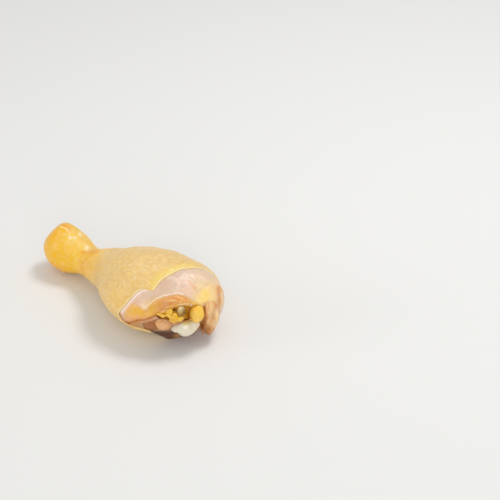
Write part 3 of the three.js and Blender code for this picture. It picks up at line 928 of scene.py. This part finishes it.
points, faces = build_skin()
skin = add_mesh("skin_sleeve", points, faces)
paint(skin, skin_colours(points))
finish_piece(skin, wet_material("raw_skin", 900, 0.045, (0.36, 0.52), 0.00012, 0.10, (1.0, 0.55, 0.25),
                                coat=0.25, cells=750), "skin")

spacing = 0.45
along_leg = grid_axis([(-73.5, -60, 0.8), (-60, 24, 4.0), (24, 76, spacing)])
points, faces = mesh_of(meat_form, along_leg, np.arange(-34, 34.1, spacing), np.arange(-1, 51, spacing))
meat = add_mesh("bare_meat", points, faces)
paint(meat, meat_colours(points))
finish_piece(meat, wet_material("raw_meat", 600, 0.05, (0.34, 0.52), 0.00008, 0.12, (1.0, 0.4, 0.25),
                                coat=0.22), "meat")


def small_piece(name, form, node, material, box, tint):
    spacing = 0.3
    axes = [np.arange(a - 1.0, b + 1.0, spacing) for a, b in box]
    p, f = mesh_of(form, *axes)
    obj = add_mesh(name, p, f)
    paint(obj, tint(p))
    finish_piece(obj, material, node)
    return obj


def flat_tint(colour, other, size, seed, share=0.6):
    def tint(p):
        c = np.tile(np.array(colour, float), (len(p), 1))
        return mix(c, other, share * step(-0.3, 0.8, layered(p, size, seed)))
    return tint


cartilage_look = wet_material("wet_cartilage", 500, 0.02, (0.14, 0.24), 0.00004, 0.3, (1, 0.9, 0.7), coat=0.6)
fat_look = wet_material("wet_fat", 500, 0.05, (0.3, 0.45), 0.00008, 0.3, (1, 0.7, 0.3), coat=0.3)
tendon_look = wet_material("wet_tendon", 700, 0.05, (0.14, 0.24), 0.00006, 0.3, (1, 0.9, 0.6), coat=0.6)


KNEE_END_DABS = [((222, 192, 100), 0.9, (16.5, -21), (4.2, 1.8), 0),
                 ((232, 206, 170), 0.7, (28.5, -24), (3, 4), 0)]
TENDON_DABS = [((240, 218, 176), 1.0, (10, -5.6), (5, 2.6), -12),
               ((200, 180, 124), 0.7, (10, -10), (1.6, 3.6), 0),
               ((130, 96, 38), 0.8, (14.5, -9.5), (2.4, 4), 0)]


def knee_cartilage_tint(p):
    c = np.tile(np.array([229.0, 222, 202]), (len(p), 1))
    c = mix(c, (222, 204, 162), 0.5 * step(-0.2, 0.8, layered(p, 5.0, 91)))
    return dabs(c, drawn(p), 1, KNEE_END_DABS)


def tendon_tint(p):
    c = np.tile(np.array([178.0, 142, 74]), (len(p), 1))
    return dabs(c, drawn(p), 1, TENDON_DABS)


small_piece("knee_joint_cartilage", cartilage_form, "knee_cartilage", cartilage_look,
            ((55, 74), (-19, 0), (8, 24)), knee_cartilage_tint)
small_piece("yellow_fat_pad", large_fat_form, "large_fat", fat_look,
            ((62, 76), (-11, 3), (17, 33)), flat_tint((246, 199, 84), (238, 176, 56), 6.0, 93))
small_piece("small_fat_pieces", small_fat_form, "small_fat", fat_look,
            ((53, 69), (-26, -11), (20, 32)), flat_tint((240, 196, 82), (210, 150, 46), 3.0, 95))
small_piece("cut_tendon", tendon_form, "tendon", tendon_look,
            ((59, 71), (-18, -7), (24, 35)), tendon_tint)
small_piece("hock_joint_cartilage", hock_cartilage_form, "hock_cartilage", cartilage_look,
            ((-74, -60), (-5, 15), (6, 21)), flat_tint((234, 228, 210), (222, 200, 166), 5.0, 97))

# Floor, light, camera
bpy.ops.mesh.primitive_plane_add(size=6)
floor = bpy.context.object
floor.name = "floor"
floor.location.z = -0.0001
floor_material, floor_tree, floor_shader = nodes_of("pale_floor")
floor_shader.inputs["Base Color"].default_value = (0.80, 0.80, 0.79, 1)
floor_shader.inputs["Roughness"].default_value = 0.75
floor.data.materials.append(floor_material)

world = bpy.data.worlds.new("soft_studio")
world.use_nodes = True
world.node_tree.nodes["Background"].inputs["Color"].default_value = (1.0, 0.99, 0.97, 1)
world.node_tree.nodes["Background"].inputs["Strength"].default_value = 0.64
bpy.context.scene.world = world


def soft_light(name, place, size, power):
    data = bpy.data.lights.new(name, "AREA")
    data.shape = "DISK"
    data.size = size
    data.energy = power
    light = bpy.data.objects.new(name, data)
    light.location = place
    light.rotation_euler = (Vector((0, 0, 0.02)) - Vector(place)).to_track_quat("-Z", "Y").to_euler()
    bpy.context.scene.collection.objects.link(light)


soft_light("key_light", (0.15, 0.45, 0.95), 0.35, 4.0)
soft_light("front_light", (0.95, -0.85, 0.45), 0.8, 4.2)
soft_light("side_light", (-0.75, -0.95, 0.35), 0.6, 2.6)

camera_data = bpy.data.cameras.new("camera")
camera_data.lens = 105.6
camera_data.sensor_width = 36.0
camera_data.clip_start = 0.01
camera = bpy.data.objects.new("camera", camera_data)
back = Vector(VIEW_BACK).normalized()
right = Vector((0, 0, 1)).cross(back).normalized()
up = back.cross(right)
turn = Matrix((right, up, back)).transposed().to_4x4()
camera.matrix_world = Matrix.Translation([v * MM for v in VIEW_FROM]) @ turn
bpy.context.scene.collection.objects.link(camera)
bpy.context.scene.camera = camera
bpy.context.scene.view_settings.view_transform = "Standard"
